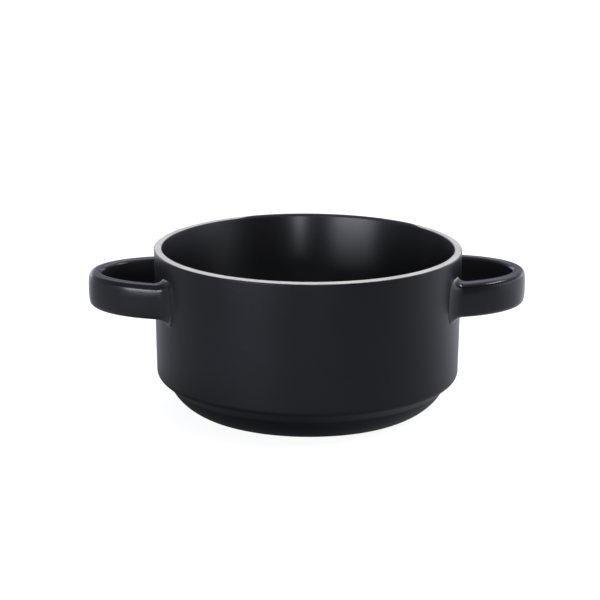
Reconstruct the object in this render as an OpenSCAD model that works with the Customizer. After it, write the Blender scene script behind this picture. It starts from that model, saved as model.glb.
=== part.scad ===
// Lug soup bowl: a straight-sided, stackable stoneware bowl with a loop handle on each side.
// +Z is up, the bowl stands on z = 0, its axis is the Z axis, and the handles lie along X.

/* [Bowl] */
// Outside diameter of the bowl at its lip
bowl_d = 125; // [118:0.5:132]
// Height from the table to the crest of the lip
bowl_h = 66; // [60:0.5:74]
// Wall thickness at the lip, glaze on both faces included
wall_t = 3; // [2.8:0.1:3.6]
// Height of the glazed floor above the table
floor_z = 7; // [6:0.1:8.5]
// Inside radius where the wall turns into the floor
corner_r = 15; // [12:0.5:17]
// Draft of the inner wall, in degrees
draft = 2; // [1.4:0.1:2.6]
// Draft of the outer wall, in degrees
outer_draft = 0.6; // [0.3:0.1:1]

/* [Lip] */
// Radius of the lip's inner edge
lip_inner_r = 0.7; // [0.6:0.05:0.9]
// Radius of the lip's crown, which slopes down to the outside
lip_crown_r = 5; // [4.2:0.1:6]
// Radius of the lip's outer edge
lip_edge_r = 0.7; // [0.6:0.05:0.9]
// Slope of the lip where the pale band starts, on the inner edge
band_start = 50; // [30:1:70]
// Slope of the lip where the pale band ends, on the outer edge
band_end = 50; // [35:1:70]

/* [Stacking step] */
// Gap all round between the neck and the mouth of the bowl below it in a stack
stack_gap = 2.6; // [2:0.1:3.2]
// Height of the neck above the table
neck_z = 9.3; // [8.5:0.1:10.5]
// Slope of the shoulder from the vertical, in degrees
shoulder_slope = 49; // [42:1:56]
// Radius where the shoulder turns into the wall
shoulder_r = 3; // [2:0.1:4]
// Radius of the hollow at the neck
hollow_r = 2.6; // [1.6:0.1:3.2]

/* [Foot] */
// Diameter where the lower curve would meet the table
foot_d = 94.4; // [90:0.2:98]
// How far the lower curve bulges out from the straight line between the foot and the neck
lower_bulge = 1.25; // [0.8:0.05:1.8]
// Radius of the foot ring's edges
foot_edge_r = 0.8; // [0.5:0.1:1]
// Width of the foot ring
foot_w = 5; // [4:0.1:7]
// Depth of the recess inside the foot ring
recess_h = 2.4; // [2:0.1:2.8]
// Radius of the recess's corner
recess_r = 1.5; // [1:0.1:1.7]

/* [Glaze] */
// Thickness of every coat of glaze
glaze_t = 0.4; // [0.3:0.05:0.5]
// Height above the table where the glaze is wiped away
wipe_z = 0.6; // [0.5:0.05:0.9]

/* [Handles] */
// Distance from the crest of the lip down to the middle of the handle's roots
handle_drop = 17.2; // [14:0.2:22]
// Rise of the handle from its roots to its tip
handle_rise = 0.4; // [0:0.1:2]
// Room for a finger between the wall and the handle's tip
finger_gap = 21.3; // [16:0.1:24]
// Half the distance between the centre lines of a handle's two legs
leg_offset = 24.2; // [21:0.2:26]
// How far inside the wall's outer face the handle's ellipse has its middle
ellipse_sink = 10.4; // [8:0.2:12]
// Thickness of the strap
strap_t = 5.5; // [5.2:0.1:6.6]
// Height of the strap
strap_h = 14.4; // [12:0.2:16]
// Radius of the strap's outer edges
strap_outer_r = 3; // [2.4:0.1:3]
// Radius of the strap's inner edges
strap_inner_r = 2; // [1.5:0.1:2.4]

/* [Slip joints] */
// Thickness of the slip between a handle's root and the wall
slip_t = 1.1; // [0.9:0.05:1.3]
// How far a root flares out along the wall, all round
flare = 1.8; // [1:0.1:2]
// How much further the strap's outer face flares out
outer_flare = 2.4; // [0:0.1:3]
// Length of a root's flare
flare_l = 3.2; // [2.4:0.1:4]

/* [Hidden] */
$fn = 180;

clay_colour = [0.80, 0.76, 0.69];
slip_colour = [0.72, 0.68, 0.61];
matt_black = [0.10, 0.10, 0.11];
satin_black = [0.06, 0.06, 0.07];
rim_colour = [0.86, 0.85, 0.82];

// Steps along each round stretch of the bowl's section
arc_steps = 12;
// Steps round each corner of the strap's section
strap_corner_steps = 4;
// Parameter angles along a handle: close steps at a root, wider ones over the loop
root_angle = 88;
loop_angle = 70;
root_step = 1.5;
loop_step = 7;

wall_r = bowl_d / 2;
mouth_r = wall_r - wall_t;
neck = [mouth_r - stack_gap, neck_z];

// Point at angle a on a circle
function polar(c, r, a) = c + r * [cos(a), sin(a)];
// Points on an arc from angle a0 to a1
function arc(c, r, a0, a1) = [
    for (k = [0:arc_steps]) polar(c, r, a0 + (a1 - a0) * k / arc_steps)
];
function reversed(list) = [for (k = [len(list) - 1:-1:0]) list[k]];
// Angle of a vector
function heading(v) = atan2(v[1], v[0]);
function cross_product(a, b) = a[0] * b[1] - a[1] * b[0];
// Where the line through p along d meets the line through q along e
function meeting(p, d, q, e) = p + d * cross_product(q - p, e) / cross_product(d, e);

// Centres of the lip's three arcs, which meet with a common tangent
crest_r = mouth_r + lip_inner_r;
lip_inner_c = [crest_r, bowl_h - lip_inner_r];
lip_crown_c = [crest_r, bowl_h - lip_crown_r];
crown_angle = asin((wall_r - lip_edge_r - crest_r) / (lip_crown_r - lip_edge_r));
lip_edge_c = polar(lip_crown_c, lip_crown_r - lip_edge_r, 90 - crown_angle);

// Outer wall: a cone that touches the lip's outer edge
wall_dir = [sin(outer_draft), cos(outer_draft)];
wall_out = [cos(outer_draft), -sin(outer_draft)];
wall_top = lip_edge_c + lip_edge_r * wall_out;
function wall_r_at(z) = wall_top[0] - (wall_top[1] - z) * tan(outer_draft);

// Shoulder: a cone through the neck, and the arc that joins it to the wall
shoulder_dir = [sin(shoulder_slope), cos(shoulder_slope)];
shoulder_out = [cos(shoulder_slope), -sin(shoulder_slope)];
shoulder_c = meeting(
    wall_top - shoulder_r * wall_out, wall_dir,
    neck - shoulder_r * shoulder_out, shoulder_dir
);

// Lower curve: the circle through the foot's outer edge and the neck
foot_point = [foot_d / 2, 0];
chord = neck - foot_point;
lower_r = (chord * chord / 4 + lower_bulge * lower_bulge) / (2 * lower_bulge);
lower_c = (neck + foot_point) / 2 + (lower_r - lower_bulge) * [-chord[1], chord[0]] / norm(chord);

// Hollow at the neck: an arc that touches both the shoulder's cone and the lower curve
hollow_start = neck + hollow_r * shoulder_out - lower_c;
hollow_shift = sqrt(
    pow(hollow_start * shoulder_dir, 2) - hollow_start * hollow_start + pow(lower_r + hollow_r, 2)
) - hollow_start * shoulder_dir;
hollow_c = lower_c + hollow_start + hollow_shift * shoulder_dir;
hollow_angle = heading(hollow_c - lower_c);
wipe_angle = asin((wipe_z - lower_c[1]) / lower_r);

// Inside: drafted wall, round corner and floor
inner_top = polar(lip_inner_c, lip_inner_r, 180 - draft);
corner_c_z = floor_z + corner_r;
corner_c = [
    inner_top[0] - (corner_r + (inner_top[1] - corner_c_z) * sin(draft)) / cos(draft),
    corner_c_z
];

// Underside: the clay's foot ring and the glazed recess
clay_lower_r = lower_r - glaze_t;
foot_outer_c = [
    lower_c[0] + sqrt(pow(clay_lower_r - foot_edge_r, 2) - pow(lower_c[1] - foot_edge_r, 2)),
    foot_edge_r
];
recess_wall_r = foot_outer_c[0] - foot_w;
foot_inner_c = [recess_wall_r + foot_edge_r, foot_edge_r];
recess_c = [recess_wall_r - glaze_t - recess_r, recess_h - recess_r];

// Point of the lip whose surface faces angle a, with the surface drawn in by inset
function lip_point(a, inset) =
    a >= 90 ? polar(lip_inner_c, lip_inner_r - inset, a)
    : a >= 90 - crown_angle ? polar(lip_crown_c, lip_crown_r - inset, a)
    : polar(lip_edge_c, lip_edge_r - inset, a);
function lip(a0, a1, inset) = [
    for (k = [0:arc_steps]) lip_point(a0 + (a1 - a0) * k / arc_steps, inset)
];

// The pale band, from the inner edge over the crest to the outer edge
function band_line(inset) = concat(
    lip(90 + band_start, 90, inset),
    lip(90, 90 - crown_angle, inset),
    lip(90 - crown_angle, 90 - band_end, inset)
);

// The outside from the shoulder down the lower curve to where the glaze is wiped away
function shoulder(inset) = concat(
    arc(shoulder_c, shoulder_r - inset, -outer_draft, -shoulder_slope),
    arc(hollow_c, hollow_r + inset, 180 - shoulder_slope, 180 + hollow_angle)
);
function lower_curve(inset, end_angle) = arc(lower_c, lower_r - inset, hollow_angle, end_angle);

// The inside from the top of the wall to the middle of the floor
function inside(inset) = concat(
    arc(corner_c, corner_r + inset, -draft, -90),
    [[0, floor_z - inset]]
);

// The recess from its middle to the foot ring
function recess(inset) = concat(
    [[0, recess_h + inset]],
    arc(recess_c, recess_r + inset, 90, 0)
);

// A coat of glaze between the finished surface and the clay
module coat(finished, clay) {
    rotate_extrude()
        polygon(concat(finished, reversed(clay)));
}

module bowl_body() {
    color(clay_colour)
        rotate_extrude()
            polygon(concat(
                lip(180 - draft, 90, glaze_t),
                lip(90, 90 - crown_angle, glaze_t),
                lip(90 - crown_angle, -outer_draft, glaze_t),
                shoulder(glaze_t),
                lower_curve(glaze_t, heading(foot_outer_c - lower_c)),
                arc(foot_outer_c, foot_edge_r, heading(foot_outer_c - lower_c), -90),
                arc(foot_inner_c, foot_edge_r, 270, 180),
                reversed(recess(glaze_t)),
                reversed(inside(glaze_t))
            ));
}

module interior_glaze() {
    color(satin_black)
        coat(
            concat(lip(90 + band_start, 180 - draft, 0), inside(0)),
            concat(lip(90 + band_start, 180 - draft, glaze_t), inside(glaze_t))
        );
}

module glaze_shell() {
    coat(
        concat(lip(90 - band_end, -outer_draft, 0), shoulder(0), lower_curve(0, wipe_angle)),
        concat(
            lip(90 - band_end, -outer_draft, glaze_t),
            shoulder(glaze_t),
            lower_curve(glaze_t, wipe_angle)
        )
    );
}

module exterior_glaze() {
    color(matt_black)
        difference() {
            glaze_shell();
            for (x_side = [0, 1], y_side = [0, 1])
                mirror([x_side, 0, 0]) mirror([0, y_side, 0]) root();
        }
}

module rim_band() {
    color(rim_colour)
        coat(
            band_line(0),
            band_line(glaze_t)
        );
}

module base_glaze() {
    color(matt_black)
        coat(
            concat(recess(0), [[recess_wall_r - glaze_t, wipe_z]]),
            concat(recess(glaze_t), [[recess_wall_r, wipe_z]])
        );
}

// How far a point stands off the wall
function wall_distance(p) = norm([p[0], p[1]]) - wall_r_at(p[2]);
// How far a root flares out along the wall at a distance d from it, on the side that faces a
function full_flare(a) = flare + outer_flare * pow(max(0, cos(a)), 2);
function growth(d, a) =
    d <= 0 ? full_flare(a)
    : d < flare_l ? full_flare(a) * (1 - sqrt(1 - pow(1 - d / flare_l, 2)))
    : 0;

// The strap's section as [outward, up, facing angle], in four rounded corners
function strap_corner(out_side, up_side, r, a0) = [
    for (k = [0:strap_corner_steps])
        let (a = a0 + 90 * k / strap_corner_steps)
            [out_side * (strap_t / 2 - r) + r * cos(a), up_side * (strap_h / 2 - r) + r * sin(a), a]
];
strap_section = concat(
    strap_corner(1, 1, strap_outer_r, 0),
    strap_corner(-1, 1, strap_inner_r, 90),
    strap_corner(-1, -1, strap_inner_r, 180),
    strap_corner(1, -1, strap_outer_r, 270)
);

// Stations through the rear root, and round the whole loop from the front root to the rear one
root_stations = [for (a = [loop_angle:root_step:root_angle]) a];
loop_stations = concat(
    -reversed(root_stations),
    [for (a = [loop_step - loop_angle:loop_step:loop_angle - loop_step]) a],
    root_stations
);
handle_z = bowl_h - handle_drop;
ellipse_x = wall_r_at(handle_z) - ellipse_sink;
ellipse_l = ellipse_sink + finger_gap + strap_t / 2;
// Centre line of the strap in plan, a half ellipse, and its outward normal
function strap_middle(a) = [ellipse_x + ellipse_l * cos(a), leg_offset * sin(a)];
function strap_outward(a) =
    let (n = [leg_offset * cos(a), ellipse_l * sin(a)]) n / norm(n);
function strap_point(a, s, inset) =
    let (
        out = strap_outward(a),
        facing = [out[0] * cos(s[2]), out[1] * cos(s[2]), sin(s[2])],
        edge = strap_middle(a) + out * s[0],
        lift = handle_z + handle_rise * cos(a),
        plain = [edge[0], edge[1], lift + s[1]] - inset * facing,
        distance = wall_distance(plain),
        radial = [plain[0], plain[1], 0] / norm([plain[0], plain[1]]),
        along = facing - radial * (facing * radial),
        grown = growth(distance, s[2]),
        flared = grown > 0 ? plain + grown * along / norm(along) : plain,
        reach = (wall_r_at(flared[2]) + distance) / norm([flared[0], flared[1]])
    )
    [flared[0] * reach, flared[1] * reach, flared[2]];

// The right handle's strap, lofted through a list of stations
module strap(stations, inset) {
    ring = len(strap_section);
    points = [for (a = stations, s = strap_section) strap_point(a, s, inset)];
    sides = [
        for (i = [0:len(stations) - 2], j = [0:ring - 1])
            let (
                p = i * ring + j,
                q = i * ring + (j + 1) % ring
            )
            each [[p, q, q + ring], [p, q + ring, p + ring]]
    ];
    first = [for (j = [ring - 1:-1:0]) j];
    last = [for (j = [0:ring - 1]) (len(stations) - 1) * ring + j];
    polyhedron(points, concat(sides, [first, last]), convexity = 6);
}

// The rear root of the right handle, as far as the clay reaches
module root() {
    strap(root_stations, glaze_t);
}

// Everything nearer to the axis than the wall's surface plus a margin
module inside_wall(margin) {
    cylinder(r1 = wall_r_at(0) + margin, r2 = wall_r_at(bowl_h) + margin, h = bowl_h);
}

module handle_core() {
    color(clay_colour)
        difference() {
            strap(loop_stations, glaze_t);
            inside_wall(slip_t - glaze_t);
        }
}

module handle_glaze() {
    color(matt_black)
        difference() {
            strap(loop_stations, 0);
            strap(loop_stations, glaze_t);
            inside_wall(0);
        }
}

// The slip between the wall's clay and the rear root of the right handle
module slip_joint() {
    color(slip_colour)
        intersection() {
            root();
            difference() {
                inside_wall(slip_t - glaze_t);
                inside_wall(-glaze_t);
            }
        }
}

module left_handle() { mirror([1, 0, 0]) handle_core(); }
module right_handle() { handle_core(); }
module left_handle_glaze() { mirror([1, 0, 0]) handle_glaze(); }
module right_handle_glaze() { handle_glaze(); }
module left_front_slip_joint() { mirror([1, 0, 0]) mirror([0, 1, 0]) slip_joint(); }
module left_rear_slip_joint() { mirror([1, 0, 0]) slip_joint(); }
module right_front_slip_joint() { mirror([0, 1, 0]) slip_joint(); }
module right_rear_slip_joint() { slip_joint(); }

bowl_body();
interior_glaze();
exterior_glaze();
rim_band();
base_glaze();
left_handle();
right_handle();
left_handle_glaze();
right_handle_glaze();
left_front_slip_joint();
left_rear_slip_joint();
right_front_slip_joint();
right_rear_slip_joint();
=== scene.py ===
import math

import bpy
from mathutils import Matrix, Vector, noise


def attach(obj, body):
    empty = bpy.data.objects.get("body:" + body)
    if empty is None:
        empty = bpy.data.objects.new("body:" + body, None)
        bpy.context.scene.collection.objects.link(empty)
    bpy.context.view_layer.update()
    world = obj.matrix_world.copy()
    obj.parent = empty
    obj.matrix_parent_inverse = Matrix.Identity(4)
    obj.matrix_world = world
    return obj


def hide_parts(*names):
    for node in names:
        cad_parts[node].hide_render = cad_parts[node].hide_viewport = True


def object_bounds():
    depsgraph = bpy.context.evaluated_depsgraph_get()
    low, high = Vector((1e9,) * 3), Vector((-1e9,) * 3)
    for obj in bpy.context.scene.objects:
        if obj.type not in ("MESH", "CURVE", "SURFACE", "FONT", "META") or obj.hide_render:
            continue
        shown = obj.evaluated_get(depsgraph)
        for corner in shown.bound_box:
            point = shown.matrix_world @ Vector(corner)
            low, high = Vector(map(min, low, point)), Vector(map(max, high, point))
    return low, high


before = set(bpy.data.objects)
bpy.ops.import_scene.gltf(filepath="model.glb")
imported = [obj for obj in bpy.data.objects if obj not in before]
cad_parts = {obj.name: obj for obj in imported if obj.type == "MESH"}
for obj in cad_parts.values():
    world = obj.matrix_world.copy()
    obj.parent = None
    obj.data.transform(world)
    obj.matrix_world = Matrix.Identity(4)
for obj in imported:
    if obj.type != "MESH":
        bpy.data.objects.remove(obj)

CAD_LOW, CAD_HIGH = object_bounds()
BODY = "root"
MM = 0.001

# Sizes below are millimetres, as on the drawing of the part, until they become mesh points.
BOWL_H = (CAD_HIGH.z - CAD_LOW.z) / MM
LIP_R = (CAD_HIGH.y - CAD_LOW.y) / 2 / MM
WALL_T = 3.0
MOUTH_R = LIP_R - WALL_T
INNER_DRAFT = math.radians(2)
OUTER_DRAFT = math.radians(0.6)
GLAZE_T = 0.4
# The inside of each coat lies this far from its outer face, a hair clear of the clay
COAT_T = 0.36

LIP_INNER_R = 0.7
LIP_CROWN_R = 5.0
LIP_EDGE_R = 0.7
BAND_END = math.radians(90 - 50)

FLOOR_Z = 7.0
CORNER_R = 15.0

STACK_GAP = 2.6
NECK_Z = 9.3
SHOULDER_SLOPE = math.radians(49)
SHOULDER_R = 3.0
HOLLOW_R = 2.6
FOOT_R = 47.2
LOWER_BULGE = 1.25
FOOT_EDGE_R = 0.8
FOOT_W = 5.0
RECESS_H = 2.4
RECESS_R = 1.5
WIPE_Z = 0.6

HANDLE_Z = BOWL_H - 17.2
HANDLE_RISE = 0.4
LEG_OFFSET = 24.2
STRAP_T = 5.5
STRAP_H = 14.4
STRAP_OUTER_R = 3.0
STRAP_INNER_R = 2.0
HANDLE_REACH = (CAD_HIGH.x - CAD_LOW.x) / 2 / MM - STRAP_T / 2
ELLIPSE_SINK = 10.4


def polar(centre, radius, angle):
    return Vector((centre[0] + radius * math.cos(angle), centre[1] + radius * math.sin(angle)))


def lerp(a, b, t):
    return a + (b - a) * t


def smooth(t):
    t = min(max(t, 0.0), 1.0)
    return t * t * (3 - 2 * t)


def arc(centre, radius, start, end, steps):
    return [polar(centre, radius, lerp(start, end, k / steps)) for k in range(steps + 1)]


def straight(a, b, steps):
    """Points between a and b, without the two ends."""
    return [a.lerp(b, k / steps) for k in range(1, steps)]


def meeting(p, d, q, e):
    """Where the line through p along d meets the line through q along e."""
    w = q - p
    return p + d * ((w.x * e.y - w.y * e.x) / (d.x * e.y - d.y * e.x))


# The section's centres, worked out as on the drawing
CREST_R = MOUTH_R + LIP_INNER_R
LIP_INNER_C = (CREST_R, BOWL_H - LIP_INNER_R)
LIP_CROWN_C = (CREST_R, BOWL_H - LIP_CROWN_R)
CROWN_ANGLE = math.asin((LIP_R - LIP_EDGE_R - CREST_R) / (LIP_CROWN_R - LIP_EDGE_R))
LIP_EDGE_C = polar(LIP_CROWN_C, LIP_CROWN_R - LIP_EDGE_R, math.pi / 2 - CROWN_ANGLE)
WALL_DIR = Vector((math.sin(OUTER_DRAFT), math.cos(OUTER_DRAFT)))
WALL_OUT = Vector((math.cos(OUTER_DRAFT), -math.sin(OUTER_DRAFT)))
WALL_TOP = LIP_EDGE_C + LIP_EDGE_R * WALL_OUT
NECK = Vector((MOUTH_R - STACK_GAP, NECK_Z))
SHOULDER_DIR = Vector((math.sin(SHOULDER_SLOPE), math.cos(SHOULDER_SLOPE)))
SHOULDER_OUT = Vector((math.cos(SHOULDER_SLOPE), -math.sin(SHOULDER_SLOPE)))
SHOULDER_C = meeting(
    WALL_TOP - SHOULDER_R * WALL_OUT, WALL_DIR, NECK - SHOULDER_R * SHOULDER_OUT, SHOULDER_DIR
)
CHORD = NECK - Vector((FOOT_R, 0))
LOWER_R = (CHORD.length_squared / 4 + LOWER_BULGE ** 2) / (2 * LOWER_BULGE)
LOWER_C = (
    (NECK + Vector((FOOT_R, 0))) / 2
    + (LOWER_R - LOWER_BULGE) * Vector((-CHORD.y, CHORD.x)).normalized()
)
HOLLOW_START = NECK + HOLLOW_R * SHOULDER_OUT - LOWER_C
HOLLOW_ALONG = HOLLOW_START.dot(SHOULDER_DIR)
HOLLOW_C = LOWER_C + HOLLOW_START + SHOULDER_DIR * (
    math.sqrt(HOLLOW_ALONG ** 2 - HOLLOW_START.length_squared + (LOWER_R + HOLLOW_R) ** 2)
    - HOLLOW_ALONG
)
HOLLOW_ANGLE = math.atan2(HOLLOW_C.y - LOWER_C.y, HOLLOW_C.x - LOWER_C.x)
INNER_TOP = polar(LIP_INNER_C, LIP_INNER_R, math.pi - INNER_DRAFT)
CORNER_Z = FLOOR_Z + CORNER_R
CORNER_C = (
    INNER_TOP.x
    - (CORNER_R + (INNER_TOP.y - CORNER_Z) * math.sin(INNER_DRAFT)) / math.cos(INNER_DRAFT),
    CORNER_Z,
)
CLAY_LOWER_R = LOWER_R - GLAZE_T
FOOT_OUTER_C = Vector((
    LOWER_C.x + math.sqrt((CLAY_LOWER_R - FOOT_EDGE_R) ** 2 - (LOWER_C.y - FOOT_EDGE_R) ** 2),
    FOOT_EDGE_R,
))
RECESS_WALL_R = FOOT_OUTER_C.x - FOOT_W
RECESS_C = (RECESS_WALL_R - GLAZE_T - RECESS_R, RECESS_H - RECESS_R)
ELLIPSE_X = WALL_TOP.x - (WALL_TOP.y - HANDLE_Z) * math.tan(OUTER_DRAFT) - ELLIPSE_SINK
ELLIPSE_L = HANDLE_REACH - ELLIPSE_X


def wall_r_at(z):
    return WALL_TOP.x - (WALL_TOP.y - z) * math.tan(OUTER_DRAFT)


def lip_point(angle, inset):
    if angle >= math.pi / 2:
        return polar(LIP_INNER_C, LIP_INNER_R - inset, angle)
    if angle >= math.pi / 2 - CROWN_ANGLE:
        return polar(LIP_CROWN_C, LIP_CROWN_R - inset, angle)
    return polar(LIP_EDGE_C, LIP_EDGE_R - inset, angle)


def lip(start, end, inset, steps):
    return [lip_point(lerp(start, end, k / steps), inset) for k in range(steps + 1)]


# How many waves the noises have round the bowl, and up its wall
RIPPLE_WAVES = 1.6
RIPPLE_PER_MM = 0.05
DRIFT_WAVES = 2.2
FINE_WAVES = 14
FINE_SHARE = 0.3
FINE_SEED_STEP = 7


def noise_round(phi, waves, height):
    """Noise on a circle round the bowl, so it is the same at 0 and 360 degrees."""
    return noise.noise(Vector((math.cos(phi) * waves, math.sin(phi) * waves, height)))


def ripple(phi, height, seed, size):
    """A slow unevenness of the surface, in millimetres."""
    return size * noise_round(phi, RIPPLE_WAVES, height * RIPPLE_PER_MM + seed)


def wander(phi, seed, size):
    """How far the edge of a coat of glaze strays round the bowl: a slow drift with finer waves."""
    slow = noise_round(phi, DRIFT_WAVES, seed)
    fine = noise_round(phi, FINE_WAVES, seed + FINE_SEED_STEP)
    return size * ((1 - FINE_SHARE) * slow + FINE_SHARE * fine)


def add_mesh(name, points, faces, material):
    """A smooth-shaded piece of the bowl from points in millimetres."""
    mesh = bpy.data.meshes.new(name)
    mesh.from_pydata([Vector(p) * MM for p in points], [], faces)
    mesh.validate()
    mesh.update()
    mesh.shade_smooth()
    piece = bpy.data.objects.new(name, mesh)
    bpy.context.scene.collection.objects.link(piece)
    mesh.materials.append(material)
    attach(piece, BODY)
    return piece


COLUMNS = 288
# A point nearer to the axis than this is on it
AXIS_R = 1e-6


def lathe(name, outline, material):
    """Turns outline(phi), a closed loop of (radius, height), round Z. Radius 0 makes a pole."""
    loops = [outline(2 * math.pi * c / COLUMNS) for c in range(COLUMNS)]
    rows = len(loops[0])
    points = []
    index = {}
    for row in range(rows):
        on_axis = loops[0][row][0] < AXIS_R
        for column in range(COLUMNS):
            if on_axis and column > 0:
                index[row, column] = index[row, 0]
                continue
            radius, height = loops[column][row]
            phi = 2 * math.pi * column / COLUMNS
            index[row, column] = len(points)
            points.append((radius * math.cos(phi), radius * math.sin(phi), height))
    faces = []
    for row in range(rows):
        for column in range(COLUMNS):
            corners = [
                index[row, column],
                index[(row + 1) % rows, column],
                index[(row + 1) % rows, (column + 1) % COLUMNS],
                index[row, (column + 1) % COLUMNS],
            ]
            face = [c for k, c in enumerate(corners) if c not in corners[:k]]
            if len(face) > 2:
                faces.append(face)
    return add_mesh(name, points, faces, material)


# Materials

# The sockets of a mix node: its two inputs and its result
MIX_NUMBERS = (2, 3, 0)
MIX_COLOURS = (6, 7, 2)


def emptied(owner, output_type):
    """The emptied node tree of a material or a world, with a new output."""
    owner.use_nodes = True
    tree = owner.node_tree
    tree.nodes.clear()
    return tree, tree.nodes.new(output_type)


def new_material(name):
    """A principled material, its node tree, its shader and the object's coordinates."""
    material = bpy.data.materials.new(name)
    tree, output = emptied(material, "ShaderNodeOutputMaterial")
    shader = tree.nodes.new("ShaderNodeBsdfPrincipled")
    tree.links.new(shader.outputs["BSDF"], output.inputs["Surface"])
    coords = tree.nodes.new("ShaderNodeTexCoord").outputs["Object"]
    return material, tree, shader, coords


def feed(tree, socket, value):
    """Links a socket to another one, or sets it to a plain value."""
    if isinstance(value, bpy.types.NodeSocket):
        tree.links.new(value, socket)
    else:
        socket.default_value = value


def noise_texture(tree, coords, scale, detail, roughness):
    node = tree.nodes.new("ShaderNodeTexNoise")
    node.inputs["Scale"].default_value = scale
    node.inputs["Detail"].default_value = detail
    node.inputs["Roughness"].default_value = roughness
    tree.links.new(coords, node.inputs["Vector"])
    return node.outputs["Fac"]


def grey(value):
    return (value, value, value)


def opaque(colour, share=1.0):
    """A colour times share, with full alpha."""
    return (*[c * share for c in colour], 1.0)


def ramp(tree, source, stops, interpolation="LINEAR"):
    node = tree.nodes.new("ShaderNodeValToRGB")
    elements = node.color_ramp.elements
    while len(elements) < len(stops):
        elements.new(0.5)
    for element, (place, colour) in zip(elements, stops):
        element.position = place
        element.color = opaque(colour)
    node.color_ramp.interpolation = interpolation
    tree.links.new(source, node.inputs["Fac"])
    return node.outputs["Color"]


def map_range(tree, source, low, high, to_low, to_high):
    node = tree.nodes.new("ShaderNodeMapRange")
    node.inputs["From Min"].default_value = low
    node.inputs["From Max"].default_value = high
    node.inputs["To Min"].default_value = to_low
    node.inputs["To Max"].default_value = to_high
    tree.links.new(source, node.inputs["Value"])
    return node.outputs["Result"]


def mixed(tree, factor, first, second, sockets=MIX_COLOURS):
    """A mix of two sockets or plain values."""
    node = tree.nodes.new("ShaderNodeMix")
    node.data_type = "RGBA" if sockets == MIX_COLOURS else "FLOAT"
    input_a, input_b, result = sockets
    tree.links.new(factor, node.inputs["Factor"])
    feed(tree, node.inputs[input_a], first)
    feed(tree, node.inputs[input_b], second)
    return node.outputs[result]


def point_values(tree, name):
    """The numbers that give_points has given the mesh."""
    node = tree.nodes.new("ShaderNodeAttribute")
    node.attribute_name = name
    return node.outputs["Fac"]


def specks(tree, coords, scale, core, rim, strength):
    """A mask of round specks: even to the distance core from a speck's middle, gone at rim."""
    node = tree.nodes.new("ShaderNodeTexVoronoi")
    node.inputs["Scale"].default_value = scale
    tree.links.new(coords, node.inputs["Vector"])
    return ramp(tree, node.outputs["Distance"], [(core, grey(strength)), (rim, grey(0.0))])


def add_bump(tree, shader, layers):
    """Stacks bump layers: each is (height socket, strength, distance in metres)."""
    normal = None
    for height, strength, distance in layers:
        bump = tree.nodes.new("ShaderNodeBump")
        bump.inputs["Strength"].default_value = strength
        bump.inputs["Distance"].default_value = distance
        tree.links.new(height, bump.inputs["Height"])
        if normal is not None:
            tree.links.new(normal, bump.inputs["Normal"])
        normal = bump.outputs["Normal"]
    tree.links.new(normal, shader.inputs["Normal"])


# The part of a noise's range that gloss and tone follow
CLOUD_LOW = 0.3
CLOUD_HIGH = 0.7
# The tone of the darkest glaze, of a pinhole in it and of an iron speck in the clay, as a share of
# the colour beside it
DARK_SHARE = 0.75
PINHOLE_SHARE = 0.45
IRON_SHARE = 0.35
# How far the shader's grooves are turned from the tangent round the axis, in whole turns
GROOVE_TURN = 0.25


def set_gloss(tree, shader, cloud, gloss, dull_edge=0.0):
    """Roughness from gloss[0] to gloss[1], and dull_edge where the points are marked for it."""
    roughness = map_range(tree, cloud, CLOUD_LOW, CLOUD_HIGH, *gloss)
    if dull_edge > 0:
        marked = point_values(tree, "dull_edge")
        roughness = mixed(tree, marked, roughness, dull_edge, MIX_NUMBERS)
    tree.links.new(roughness, shader.inputs["Roughness"])


def black_glaze(
    name, colour, gloss, specular, orange_peel,
    grooves=0.0, ior=1.5, painted_fill_colour=None, dull_edge=0.0,
):
    """Black stoneware glaze: slow changes of tone and gloss, an orange-peel surface and a few
    pinholes. Grooves are the rings that throwing leaves."""
    material, tree, shader, coords = new_material(name)
    cloud = noise_texture(tree, coords, scale=22, detail=4, roughness=0.55)
    fine = noise_texture(tree, coords, scale=900, detail=3, roughness=0.6)
    peel = noise_texture(tree, coords, scale=420, detail=2, roughness=0.5)
    dark = tuple(c * DARK_SHARE for c in colour)
    tone = ramp(tree, cloud, [(CLOUD_LOW, dark), (0.72, colour)])
    pinholes = specks(tree, coords, scale=260, core=0.05, rim=0.12, strength=1.0)
    base = mixed(tree, pinholes, tone, opaque(colour, PINHOLE_SHARE))
    # Where the points are marked, the base turns to a lighter colour: painted fill light.
    if painted_fill_colour:
        base = mixed(tree, point_values(tree, "painted_fill_light"), base, opaque(painted_fill_colour))
    tree.links.new(base, shader.inputs["Base Color"])
    set_gloss(tree, shader, cloud, gloss, dull_edge)
    shader.inputs["Specular IOR Level"].default_value = specular
    shader.inputs["IOR"].default_value = ior
    if grooves > 0:
        round_axis = tree.nodes.new("ShaderNodeTangent")
        round_axis.direction_type = "RADIAL"
        round_axis.axis = "Z"
        shader.inputs["Anisotropic"].default_value = grooves
        shader.inputs["Anisotropic Rotation"].default_value = GROOVE_TURN
        tree.links.new(round_axis.outputs["Tangent"], shader.inputs["Tangent"])
    add_bump(tree, shader, [(peel, orange_peel, 0.00025), (fine, orange_peel, 0.00008)])
    return material


def bare_clay(name, colour, dark, grain):
    """Fired stoneware: gritty, matt, with darker iron specks."""
    material, tree, shader, coords = new_material(name)
    cloud = noise_texture(tree, coords, scale=90, detail=5, roughness=0.6)
    grit = noise_texture(tree, coords, scale=1800, detail=4, roughness=0.7)
    tone = ramp(tree, cloud, [(CLOUD_LOW, dark), (CLOUD_HIGH, colour)])
    iron = specks(tree, coords, scale=520, core=0.10, rim=0.2, strength=0.75)
    base = mixed(tree, iron, tone, opaque(dark, IRON_SHARE))
    tree.links.new(base, shader.inputs["Base Color"])
    set_gloss(tree, shader, cloud, (0.78, 0.92))
    add_bump(tree, shader, [(grit, grain, 0.0002)])
    return material


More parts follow.
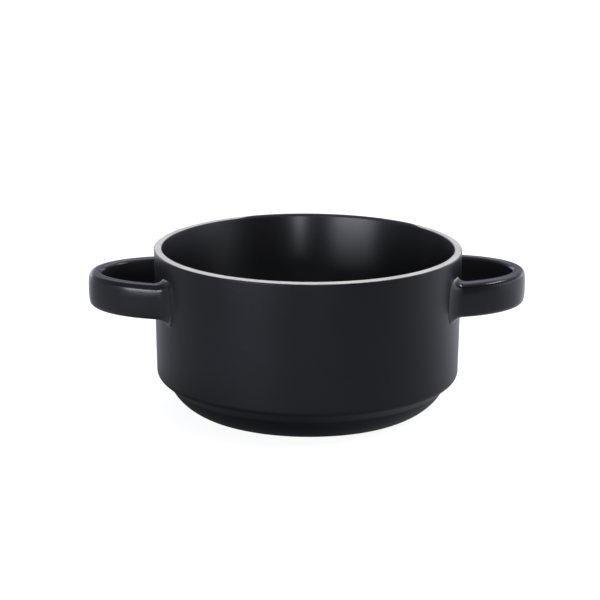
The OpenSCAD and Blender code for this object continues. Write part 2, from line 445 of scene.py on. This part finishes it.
def rim_wash(name):
    """Pale wash on the lip: speckled, softly glossy, and warm at its two edges, where the black
    glaze breaks thin."""
    material, tree, shader, coords = new_material(name)
    cloud = noise_texture(tree, coords, scale=70, detail=4, roughness=0.6)
    fleck = noise_texture(tree, coords, scale=1300, detail=4, roughness=0.65)
    pale = ramp(tree, cloud, [(0.28, (0.61, 0.585, 0.50)), (0.70, (0.775, 0.745, 0.65))])
    flecks = ramp(tree, fleck, [(0.60, grey(0.0)), (0.74, grey(0.8))])
    base = mixed(tree, flecks, pale, opaque((0.33, 0.30, 0.25)))
    base = mixed(tree, point_values(tree, "glaze_edge"), base, opaque((0.10, 0.082, 0.066)))
    tree.links.new(base, shader.inputs["Base Color"])
    set_gloss(tree, shader, cloud, (0.38, 0.52))
    add_bump(tree, shader, [(fleck, 0.25, 0.0001)])
    return material


WALL_GLAZE = black_glaze(
    "wall_glaze", (0.0080, 0.0084, 0.0105), gloss=(0.31, 0.35), specular=0.30, orange_peel=0.10,
)
INNER_GLAZE = black_glaze(
    "inner_glaze", (0.0062, 0.0062, 0.0080), gloss=(0.29, 0.33), specular=1.0, orange_peel=0.06,
    grooves=0.75, ior=1.6, dull_edge=0.9,
)
# The handle glaze turns lighter on the strap's wall-facing side: painted fill light.
HANDLE_GLAZE = black_glaze(
    "handle_glaze", (0.0100, 0.0100, 0.0124), gloss=(0.18, 0.23), specular=0.42, orange_peel=0.08,
    painted_fill_colour=(0.030, 0.029, 0.032),
)
CLAY = bare_clay("stoneware_clay", (0.50, 0.43, 0.34), (0.36, 0.30, 0.23), grain=0.6)
SLIP = bare_clay("joining_slip", (0.42, 0.36, 0.28), (0.30, 0.25, 0.19), grain=0.4)
RIM_WASH = rim_wash("rim_wash")


def give_points(piece, name, values):
    """Gives each point of a piece a number that its material reads."""
    points = piece.data.attributes.new(name, "FLOAT", "POINT").data
    for point, value in zip(points, values):
        point.value = value


# The bowl's coats

# The noise that each edge of a coat strays with: its seed, and its size in degrees round the lip or
# in millimetres above the foot
INNER_EDGE_SEED = 3.1
INNER_EDGE_STRAY = 4.0
COVERED_STRAY = 8.0
OUTER_EDGE_SEED = 11.7
OUTER_EDGE_STRAY = 16.0
FOOT_EDGE_SEED = 5.3
FOOT_EDGE_STRAY = 0.25
RECESS_EDGE_SEED = 9.4
RECESS_EDGE_STRAY = 0.2
# The ripple of the outer and of the inner face. The inner one dies away towards the axis.
OUTER_RIPPLE_SEED = 1.7
INNER_RIPPLE_SEED = 4.2
RIPPLE_SIZE = 0.10
CALM_R = 5
CALM_FADE = 20
# The wash lies this much lower than the black glaze beside it
WASH_SINK = 0.03

# How many steps each run of an outline has
LIP_STEPS = 12
RIM_STEPS = 28
OUTER_WALL_STEPS = 24
SHOULDER_STEPS = 14
HOLLOW_STEPS = 12
LOWER_STEPS = 20
INNER_WALL_STEPS = 20
INNER_CORNER_STEPS = 24
FLOOR_STEPS = 12
RECESS_STEPS = 10

# The facing angle at which the wash starts: down the lip's inner edge, but past the crest at the
# far side, where the black glaze covers it. That stretch goes round the bowl from COVERED_FROM to
# COVERED_TO, and the edge climbs over the angle CLIMB at each end.
WASH_START = math.radians(90 + 84)
COVERED_START = math.radians(90 - 8)
COVERED_FROM = math.radians(37)
COVERED_TO = math.radians(114)
CLIMB = math.radians(9)


def inner_edge_angle(phi):
    """Facing angle on the lip where the inner black glaze ends and the pale band begins."""
    phi %= 2 * math.pi
    covered = smooth((phi - COVERED_FROM) / CLIMB + 0.5) * smooth((COVERED_TO - phi) / CLIMB + 0.5)
    stray = wander(phi, INNER_EDGE_SEED, lerp(INNER_EDGE_STRAY, COVERED_STRAY, covered))
    return lerp(WASH_START, COVERED_START, covered) + math.radians(stray)


def outer_edge_angle(phi):
    """Facing angle on the lip where the pale band ends and the outer black glaze begins."""
    return BAND_END + math.radians(wander(phi, OUTER_EDGE_SEED, OUTER_EDGE_STRAY))


# The inner glaze is dull where it was pulled over the lip's edge: how far down that reaches, the
# height it fades over, and the share of the wall's height that a row of its own takes
DULL_H = 1.0
DULL_FADE = 0.35
DULL_SHARE = 0.012


def closed(face, back):
    """A coat's outline, or its rings: along its outer face and back along its inside."""
    return face + list(reversed(back))


def outer_outline(phi):
    edge = outer_edge_angle(phi)
    wipe_z = WIPE_Z + wander(phi, FOOT_EDGE_SEED, FOOT_EDGE_STRAY)
    wipe = math.asin((wipe_z - LOWER_C.y) / LOWER_R)

    def line(inset):
        top = lip(edge, -OUTER_DRAFT, inset, LIP_STEPS)
        shoulder = arc(
            SHOULDER_C, SHOULDER_R - inset, -OUTER_DRAFT, -SHOULDER_SLOPE, SHOULDER_STEPS
        )
        hollow = arc(
            HOLLOW_C, HOLLOW_R + inset, math.pi - SHOULDER_SLOPE, math.pi + HOLLOW_ANGLE,
            HOLLOW_STEPS,
        )
        wall = straight(top[-1], shoulder[0], OUTER_WALL_STEPS)
        under = arc(LOWER_C, LOWER_R - inset, HOLLOW_ANGLE, wipe, LOWER_STEPS)[1:]
        return top + wall + shoulder + hollow + under

    face = [
        Vector((p.x - ripple(phi, p.y, OUTER_RIPPLE_SEED, RIPPLE_SIZE), p.y)) for p in line(0)
    ]
    return closed(face, line(COAT_T))


def inner_outline(phi):
    edge = inner_edge_angle(phi)

    def line(inset):
        top = lip(edge, math.pi - INNER_DRAFT, inset, LIP_STEPS)
        corner = arc(
            CORNER_C, CORNER_R + inset, -INNER_DRAFT, -math.pi / 2, INNER_CORNER_STEPS
        )
        below_lip = top[-1].lerp(corner[0], DULL_SHARE)
        wall = [below_lip] + straight(below_lip, corner[0], INNER_WALL_STEPS)
        floor = straight(corner[-1], Vector((0, corner[-1].y)), FLOOR_STEPS)
        return top + wall + corner + floor + [Vector((0, FLOOR_Z - inset))]

    face = []
    for p in line(0):
        lift = ripple(phi, p.y, INNER_RIPPLE_SEED, RIPPLE_SIZE) * smooth((p.x - CALM_R) / CALM_FADE)
        face.append(Vector((p.x + lift, p.y)))
    return closed(face, line(COAT_T))


def rim_outline(phi):
    start, end = inner_edge_angle(phi), outer_edge_angle(phi)
    return closed(lip(start, end, WASH_SINK, RIM_STEPS), lip(start, end, COAT_T, RIM_STEPS))


def base_outline(phi):
    wipe_z = WIPE_Z + wander(phi, RECESS_EDGE_SEED, RECESS_EDGE_STRAY)

    def line(inset):
        corner = arc(RECESS_C, RECESS_R + inset, math.pi / 2, 0, RECESS_STEPS)
        floor = straight(Vector((0, corner[0].y)), corner[0], RECESS_STEPS)
        foot = Vector((RECESS_WALL_R - GLAZE_T + inset, wipe_z))
        return [Vector((0, RECESS_H + inset))] + floor + corner + [foot]

    return closed(line(0), line(COAT_T))


outer_coat = lathe("exterior_glaze_coat", outer_outline, WALL_GLAZE)
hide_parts("exterior_glaze")
inner_coat = lathe("interior_glaze_coat", inner_outline, INNER_GLAZE)
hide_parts("interior_glaze")
rim_coat = lathe("rim_band_coat", rim_outline, RIM_WASH)
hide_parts("rim_band")
base_coat = lathe("base_glaze_coat", base_outline, WALL_GLAZE)
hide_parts("base_glaze")

give_points(inner_coat, "dull_edge", [
    smooth((vertex.co.z / MM - BOWL_H + DULL_H) / DULL_FADE) for vertex in inner_coat.data.vertices
])

# How wide the warm edge of the pale band is
EDGE_WIDTH = 0.35


def nearness_to_black(spot):
    """How near a point of the pale band is to a coat of black glaze, for the warm edge."""
    phi = math.atan2(spot.y, spot.x)
    here = Vector((math.hypot(spot.x, spot.y), spot.z))
    gap = min(
        (here - lip_point(edge_angle(phi), 0)).length
        for edge_angle in (inner_edge_angle, outer_edge_angle)
    )
    return 1 - smooth(gap / EDGE_WIDTH)


give_points(
    rim_coat, "glaze_edge", [nearness_to_black(vertex.co / MM) for vertex in rim_coat.data.vertices]
)


# The handles

FILLET_ROWS = 24
END_ROWS = 4
LOOP_ROWS = 96
CORNER_STEPS = 8
FACE_STEPS = 8
# The strap's outer face is flat as far as FACE_FLAT from its middle line. From there it falls away,
# as a power of the way, to its edges, which lie CROWN_SPREAD times the crown further out.
FACE_FLAT = 1.6
FACE_CROWN = 0.26
CROWN_SPREAD = 3.0
CROWN_POWER = 1.6


def strap_section(crown):
    """The strap's section as (outward, up, facing angle). The outer face falls away by crown."""
    edge = STRAP_H / 2 - STRAP_OUTER_R + CROWN_SPREAD * crown
    lean = crown * CROWN_POWER / (edge - FACE_FLAT)
    edge_angle = math.atan(lean)
    outer_r = (STRAP_H / 2 - edge) / (1 - math.sin(edge_angle))
    outer_c = (STRAP_T / 2 - crown - outer_r * math.cos(edge_angle), STRAP_H / 2 - outer_r)
    inner_c = (STRAP_INNER_R - STRAP_T / 2, STRAP_H / 2 - STRAP_INNER_R)

    def round_corner(centre, radius, start, end):
        angles = [lerp(start, end, k / CORNER_STEPS) for k in range(CORNER_STEPS + 1)]
        return [(*polar(centre, radius, angle), angle) for angle in angles]

    def mirrored(run):
        return [(outward, -up, -angle) for outward, up, angle in reversed(run)]

    face = []
    for k in range(1, FACE_STEPS):
        up = lerp(0, edge, k / FACE_STEPS)
        share = max(0.0, (up - FACE_FLAT) / (edge - FACE_FLAT))
        outward = STRAP_T / 2 - crown * share ** CROWN_POWER
        face.append((outward, up, math.atan(lean * share ** (CROWN_POWER - 1))))
    inner_face = [
        (-STRAP_T / 2, lerp(inner_c[1], 0, k / FACE_STEPS), math.pi) for k in range(1, FACE_STEPS)
    ]
    upper = (
        face
        + round_corner(outer_c, outer_r, edge_angle, math.pi / 2)
        + round_corner(inner_c, STRAP_INNER_R, math.pi / 2, math.pi)
        + inner_face
    )
    return [(STRAP_T / 2, 0.0, 0.0)] + upper + [(-STRAP_T / 2, 0.0, math.pi)] + mirrored(upper)


def strap_place(angle, outward, up):
    """A point of the strap before its roots flare, at a parameter angle round the half ellipse."""
    normal = Vector((LEG_OFFSET * math.cos(angle), ELLIPSE_L * math.sin(angle))).normalized()
    x = ELLIPSE_X + ELLIPSE_L * math.cos(angle) + normal.x * outward
    y = LEG_OFFSET * math.sin(angle) + normal.y * outward
    return Vector((x, y, HANDLE_Z + HANDLE_RISE * math.cos(angle) + up)), normal


def clearance(spot):
    return math.hypot(spot.x, spot.y) - wall_r_at(spot.z)


# Where angle_at looks for an angle, and how often it halves that stretch
NEAR_WALL = math.radians(95)
OFF_WALL = math.radians(30)
HALVINGS = 40


def angle_at(distance, outward, up):
    """The parameter angle of the rear leg where its surface is this far from the wall."""
    near, far = NEAR_WALL, OFF_WALL
    for _ in range(HALVINGS):
        middle = (near + far) / 2
        if clearance(strap_place(middle, outward, up)[0]) < distance:
            near = middle
        else:
            far = middle
    return (near + far) / 2


QUARTER = math.pi / 2
# The least that a root flares out along the wall, as on the drawing, and how far that reaches
FLARE = 1.8
FLARE_L = 3.2
# What pressing by hand adds to the two, and how far apart the roots are in its noise
HAND_FLARE = 0.5
HAND_FLARE_L = 0.8
HAND_SEED = 3.7
# The rows of a root reach this far from the wall, and those of the loop begin there
ROOT_L = 4.6
# The slip pools on the outer face of a root, most where the front ones were smoothed
LEFT_POOL = 4.0
RIGHT_POOL = 2.8
REAR_POOL = 2.6
# A bead of slip and glaze that stands along a root's foot, on the strap's outer face: where its
# crest is on the flare's quarter curve, how wide it is, and where it begins
BEAD_PLACE = 0.30
BEAD_SPREAD = 0.15
BEAD_START = 0.12
LEFT_BEAD = 0.70
REAR_BEAD = 0.3
# The angle at which the right front root, smoothed less than the others, leaves the wall
RIGHT_CREASE = 0.38


def root_shape(turn, facing, seed, pool, bead, crease):
    """How far the flare's surface stands off the wall and along it, at a turn of its quarter
    curve, and the flare's length. It leaves the wall at the angle crease."""
    outer = max(0.0, math.cos(facing)) ** 2
    hand = noise.noise(Vector((math.cos(facing), math.sin(facing), seed * HAND_SEED)))
    hand = max(0.0, 0.5 + hand)
    size = FLARE + pool * outer + HAND_FLARE * hand
    length = FLARE_L + HAND_FLARE_L * hand
    turn = lerp(crease, QUARTER, turn / QUARTER)
    off = length * (1 - math.cos(turn) / math.cos(crease))
    along = size * (1 - math.sin(turn)) / (1 - math.sin(crease))
    crest = math.exp(-((turn - BEAD_PLACE) / BEAD_SPREAD) ** 2)
    rise = bead * outer * crest * smooth(turn / BEAD_START)
    slope = Vector((size * math.cos(turn), length * math.sin(turn))).normalized()
    return off + rise * slope.x, along + rise * slope.y, length


def sunk(section, inset):
    """The strap's section, sunk by inset."""
    return [
        (outward - inset * math.cos(facing), up - inset * math.sin(facing), facing)
        for outward, up, facing in section
    ]


def root_row(turn, section, seed, pool, bead, crease):
    """One ring of the rear root. From a quarter turn on, it runs on to the root's end."""
    ring = []
    for outward, up, facing in section:
        off, slide, length = root_shape(min(turn, QUARTER), facing, seed, pool, bead, crease)
        if turn > QUARTER:
            off = lerp(length, ROOT_L, turn / QUARTER - 1)
        spot, normal = strap_place(angle_at(off, outward, up), outward, up)
        face = Vector((
            normal.x * math.cos(facing), normal.y * math.cos(facing), math.sin(facing)
        ))
        radial = Vector((spot.x, spot.y, 0)).normalized()
        along = (face - radial * face.dot(radial)).normalized()
        spot = spot + along * slide
        reach = (wall_r_at(spot.z) + off) / math.hypot(spot.x, spot.y)
        ring.append(Vector((spot.x * reach, spot.y * reach, spot.z)))
    return ring


ROOT_TURNS = [QUARTER * k / FILLET_ROWS for k in range(FILLET_ROWS + 1)]
ROOT_TURNS += [QUARTER * (1 + k / END_ROWS) for k in range(1, END_ROWS + 1)]


def strap_rows(section, seed, front_pool, front_bead, rear_bead, crease):
    """Rings from the front root round the loop to the rear root, for the right handle."""
    rear = [root_row(t, section, seed + 1, REAR_POOL, rear_bead, 0.0) for t in ROOT_TURNS]
    front = [root_row(t, section, seed, front_pool, front_bead, crease) for t in ROOT_TURNS]
    front = [[Vector((p.x, -p.y, p.z)) for p in ring] for ring in front]
    loop = [[] for _ in range(LOOP_ROWS - 1)]
    for outward, up, _ in section:
        end = angle_at(ROOT_L, outward, up)
        for row, ring in enumerate(loop, start=1):
            ring.append(strap_place(lerp(-end, end, row / LOOP_ROWS), outward, up)[0])
    return front + loop + list(reversed(rear))


# How quickly the painted fill light, a lighter base colour, grows towards the side of the strap
# that faces the wall, and how late
FILL_LIGHT_GROWTH = 1.6
FILL_LIGHT_DELAY = 0.4


def painted_fill_share(facing):
    """How much painted fill light a side of the strap gets: a lighter base colour that stands in
    for light reaching the loop's inside.
    """
    return smooth(-FILL_LIGHT_GROWTH * math.cos(facing) - FILL_LIGHT_DELAY)


def handle_coat(name, side, seed, front_pool, front_bead, crease, node):
    """A coat of glaze round one handle: an outer and an inner skin, joined at both roots."""
    section = strap_section(FACE_CROWN)
    outer = strap_rows(section, seed, front_pool, front_bead, REAR_BEAD, crease)
    inner = strap_rows(sunk(strap_section(0.0), COAT_T), seed, front_pool, 0.0, 0.0, crease)
    rings = closed(outer, inner)
    rows, count = len(rings), len(section)
    points = [(p.x * side, p.y, p.z) for ring in rings for p in ring]
    faces = []
    for row in range(rows):
        for k in range(count):
            this_row, next_row = row * count, (row + 1) % rows * count
            right = (k + 1) % count
            face = (this_row + k, this_row + right, next_row + right, next_row + k)
            faces.append(face if side > 0 else face[::-1])
    piece = add_mesh(name, points, faces, HANDLE_GLAZE)
    # The strap's wall-facing side gets painted fill light, a lighter base colour.
    give_points(
        piece, "painted_fill_light", [painted_fill_share(section[k % count][2]) for k in range(len(points))]
    )
    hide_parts(node)


handle_coat(
    "right_handle_coat", 1, seed=2.0, front_pool=RIGHT_POOL, front_bead=0.0,
    crease=RIGHT_CREASE, node="right_handle_glaze",
)
handle_coat(
    "left_handle_coat", -1, seed=5.0, front_pool=LEFT_POOL, front_bead=LEFT_BEAD,
    crease=0.0, node="left_handle_glaze",
)


def dress(node, material):
    """Gives a CAD node that stays its finish."""
    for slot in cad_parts[node].material_slots:
        slot.material = material


for node in ("bowl_body", "left_handle", "right_handle"):
    dress(node, CLAY)
for side in ("left", "right"):
    for end in ("front", "rear"):
        dress(f"{side}_{end}_slip_joint", SLIP)


# Floor, camera and lights, in metres

def maths(tree, operation, first, second=None):
    """A maths node on sockets or plain numbers."""
    node = tree.nodes.new("ShaderNodeMath")
    node.operation = operation
    feed(tree, node.inputs[0], first)
    if second is not None:
        feed(tree, node.inputs[1], second)
    return node.outputs[0]


def times(tree, first, second):
    return maths(tree, "MULTIPLY", first, second)


def plus(tree, first, second):
    return maths(tree, "ADD", first, second)


def seen_or_mirrored(tree, output, seen, mirrored):
    """Gives a surface what the camera sees directly and what the glaze mirrors."""
    path = tree.nodes.new("ShaderNodeLightPath")
    mix = tree.nodes.new("ShaderNodeMixShader")
    tree.links.new(path.outputs["Is Camera Ray"], mix.inputs["Fac"])
    tree.links.new(mirrored.outputs[0], mix.inputs[1])
    tree.links.new(seen.outputs[0], mix.inputs[2])
    tree.links.new(mix.outputs[0], output.inputs["Surface"])


def glowing(tree, node_type, colour, strength):
    """An emission or background shader."""
    node = tree.nodes.new(node_type)
    node.inputs["Color"].default_value = opaque(colour)
    feed(tree, node.inputs["Strength"], strength)
    return node


# The floor as the camera sees it: a grey that takes shadows, and the glow that lifts it
FLOOR_GREY = 0.35
FLOOR_LIFT = 0.90
# The floor as the glaze mirrors it: lighter along REARWARD, dark round DARK_PLACE beside the foot,
# and fading in front, estimated from the photo's reflections as the surroundings below are. Each
# range is (from, to, brightness at the first, brightness at the second).
DARK_PLACE = (-0.020, -0.012)
REARWARD = (0.423, 0.906)
REAR_RANGE = (0.0, 0.18, 0.46, 1.05)
FOOT_RANGE = (0.045, 0.095, 0.20, 1.0)
FRONT_RANGE = (-0.60, -0.25, 0.05, 1.0)
FLOOR_GLOW = (0.93, 0.95, 1.05)


def pale_floor():
    """A pale floor to the camera, with soft shadows, and a glowing floor of its own to the glaze,
    with painted light and a painted shadow beside the foot.
    """
    material = bpy.data.materials.new("pale_floor")
    tree, output = emptied(material, "ShaderNodeOutputMaterial")
    pale = tree.nodes.new("ShaderNodeBsdfDiffuse")
    pale.inputs["Color"].default_value = opaque(grey(FLOOR_GREY))
    lift = glowing(tree, "ShaderNodeEmission", grey(1.0), FLOOR_LIFT)
    shown = tree.nodes.new("ShaderNodeAddShader")
    tree.links.new(pale.outputs[0], shown.inputs[0])
    tree.links.new(lift.outputs[0], shown.inputs[1])
    apart = tree.nodes.new("ShaderNodeSeparateXYZ")
    place = tree.nodes.new("ShaderNodeTexCoord")
    tree.links.new(place.outputs["Object"], apart.inputs["Vector"])
    x, y = apart.outputs["X"], apart.outputs["Y"]
    aside, ahead = plus(tree, x, -DARK_PLACE[0]), plus(tree, y, -DARK_PLACE[1])
    reach = maths(tree, "SQRT", plus(tree, times(tree, aside, aside), times(tree, ahead, ahead)))
    rearward = plus(tree, times(tree, y, REARWARD[1]), times(tree, x, REARWARD[0]))
    rear = map_range(tree, rearward, *REAR_RANGE)
    foot = map_range(tree, reach, *FOOT_RANGE)
    front = map_range(tree, y, *FRONT_RANGE)
    # The mirrored floor's glow is painted light: lighter rearward, with a painted shadow round
    # DARK_PLACE beside the foot.
    glow = times(tree, rear, times(tree, foot, front))
    mirrored = glowing(tree, "ShaderNodeEmission", FLOOR_GLOW, glow)
    seen_or_mirrored(tree, output, shown, mirrored)
    return material


FLOOR_HALF = 3.0
FLOOR_GAP = 0.0001
floor_mesh = bpy.data.meshes.new("floor")
floor_mesh.from_pydata(
    [(x * FLOOR_HALF, y * FLOOR_HALF, 0) for x, y in ((-1, -1), (1, -1), (1, 1), (-1, 1))],
    [], [(0, 1, 2, 3)],
)
floor = bpy.data.objects.new("floor", floor_mesh)
floor.location.z = CAD_LOW.z - FLOOR_GAP
bpy.context.scene.collection.objects.link(floor)
floor_mesh.materials.append(pale_floor())

BOWL_MIDDLE = Vector((0, 0, BOWL_H * MM / 2))

# The camera, fitted to the bowl's outline: it stands BOWL_TURN, in radians, to the left of the
# front, the bowl's middle is at AXIS_PX in the picture, and a metre beside it takes PX_PER_M pixels
CAMERA_DISTANCE = 740 * MM
CAMERA_TILT = math.radians(15.74)
CAMERA_ROLL = math.radians(-0.30)
BOWL_TURN = 0.053
FRAME_PX = 600
PX_PER_M = 2432.1
AXIS_PX = Vector((308.0, 323.2))
SENSOR_MM = 36
CLIP_START = 0.01


def place_camera():
    focal_px = PX_PER_M * CAMERA_DISTANCE
    forward = Vector((0, math.cos(CAMERA_TILT), -math.sin(CAMERA_TILT)))
    right = Vector((1, 0, 0))
    place = BOWL_MIDDLE - forward * CAMERA_DISTANCE
    pan = Matrix.Rotation(math.atan((AXIS_PX.x - FRAME_PX / 2) / focal_px), 3, "Z")
    forward, right = pan @ forward, pan @ right
    nod = Matrix.Rotation(math.atan((AXIS_PX.y - FRAME_PX / 2) / focal_px), 3, right)
    forward = nod @ forward
    up = right.cross(forward)
    roll = Matrix.Rotation(CAMERA_ROLL, 3, forward)
    right, up = roll @ right, roll @ up
    turn = Matrix.Rotation(-BOWL_TURN, 3, "Z")
    place, forward, right, up = (turn @ v for v in (place, forward, right, up))
    data = bpy.data.cameras.new("camera")
    data.sensor_width = SENSOR_MM
    data.lens = focal_px * SENSOR_MM / FRAME_PX
    data.clip_start = CLIP_START
    camera = bpy.data.objects.new("camera", data)
    axes = Matrix((right, up, -forward)).transposed().to_4x4()
    camera.matrix_world = Matrix.Translation(place) @ axes
    bpy.context.scene.collection.objects.link(camera)
    bpy.context.scene.camera = camera


place_camera()

LAMP_DISTANCE = 0.9


def softbox(name, azimuth, elevation, width, height, power, colour):
    """An area lamp aimed at the bowl, its power in watts. Azimuth 0 is in front, positive to the
    right."""
    data = bpy.data.lights.new(name, "AREA")
    data.shape = "RECTANGLE"
    data.size = width
    data.size_y = height
    data.energy = power
    data.color = colour
    lamp = bpy.data.objects.new(name, data)
    a, e = math.radians(azimuth), math.radians(elevation)
    direction = Vector((math.sin(a) * math.cos(e), -math.cos(a) * math.cos(e), math.sin(e)))
    lamp.location = BOWL_MIDDLE + direction * LAMP_DISTANCE
    lamp.rotation_mode = "QUATERNION"
    lamp.rotation_quaternion = direction.to_track_quat("Z", "Y")
    bpy.context.scene.collection.objects.link(lamp)


softbox(
    "left_front_softbox", azimuth=-41, elevation=7.0, width=0.55, height=0.22, power=3.65,
    colour=(0.85, 0.88, 1.0),
)
softbox(
    "right_high_softbox", azimuth=80, elevation=39, width=0.32, height=0.09, power=1.55,
    colour=(0.94, 0.96, 1.0),
)
softbox(
    "front_strip", azimuth=4, elevation=7.0, width=0.08, height=0.15, power=0.8,
    colour=(0.88, 0.90, 1.0),
)

# The studio's surroundings: (azimuth, brightness) round the horizon, above it, high up and
# overhead. Azimuth 0 is in front, positive to the right. The photo doesn't show them: they were
# estimated from its reflections, by least squares and then one by one.
HORIZON = [
    (-180, 0.3), (-168, 1.5), (-156, 2.3), (-144, 2.8), (-132, 0.3), (-108, 0.45), (-84, 0.35),
    (-68, 1.0), (-12, 0.6), (12, 0.4), (30, 0.1), (54, 0.2), (72, 1.7), (84, 2.1), (96, 1.8),
    (108, 1.5), (120, 1.8), (132, 3.6), (144, 1.3), (156, 0.6), (168, 0.1),
]
MIDDLE = [
    (-180, 0.1), (-156, 1.0), (-132, 0.4), (-108, 0.52), (-84, 0.15), (-60, 0.25), (-36, 0.05),
    (36, 0.0), (60, 0.0), (84, 0.12), (108, 0.66), (132, 0.88), (156, 0.6),
]
HIGH = [
    (-180, 2.4), (-165, 2.4), (-135, 0.3), (-90, 0.2), (-45, 0.3), (0, 0.4), (45, 0.4), (90, 0.3),
    (135, 2.2),
]
TOP = [(0, 0.1), (180, 3.6)]
# The elevations in degrees over which each ring takes over from the one below
RINGS_ABOVE = ((MIDDLE, 9, 15), (HIGH, 28, 42), (TOP, 60, 75))
BRIGHTEST = 3.6
ROOM_COLOUR = (0.90, 0.92, 1.09)
BACKDROP = 1.1


def ring_glow(tree, azimuth, table):
    """A ring of brightness round the bowl."""
    stops = [((angle + 180) / 360, grey(bright / BRIGHTEST)) for angle, bright in table]
    return ramp(tree, azimuth, stops, "B_SPLINE")


def studio_world():
    """The surroundings as the glaze mirrors them. The camera itself sees a white backdrop."""
    world = bpy.data.worlds.new("studio")
    bpy.context.scene.world = world
    tree, output = emptied(world, "ShaderNodeOutputWorld")
    place = tree.nodes.new("ShaderNodeTexCoord")
    apart = tree.nodes.new("ShaderNodeSeparateXYZ")
    tree.links.new(place.outputs["Generated"], apart.inputs["Vector"])
    turn = maths(tree, "ARCTAN2", apart.outputs["X"], times(tree, apart.outputs["Y"], -1.0))
    azimuth = map_range(tree, turn, -math.pi, math.pi, 0.0, 1.0)
    glow = ring_glow(tree, azimuth, HORIZON)
    for table, start, end in RINGS_ABOVE:
        low, high = math.sin(math.radians(start)), math.sin(math.radians(end))
        share = map_range(tree, apart.outputs["Z"], low, high, 0.0, 1.0)
        glow = mixed(tree, share, glow, ring_glow(tree, azimuth, table))
    shown = glowing(tree, "ShaderNodeBackground", grey(1.0), BACKDROP)
    room = glowing(tree, "ShaderNodeBackground", ROOM_COLOUR, times(tree, glow, BRIGHTEST))
    seen_or_mirrored(tree, output, shown, room)


studio_world()
bpy.context.scene.view_settings.view_transform = "Standard"
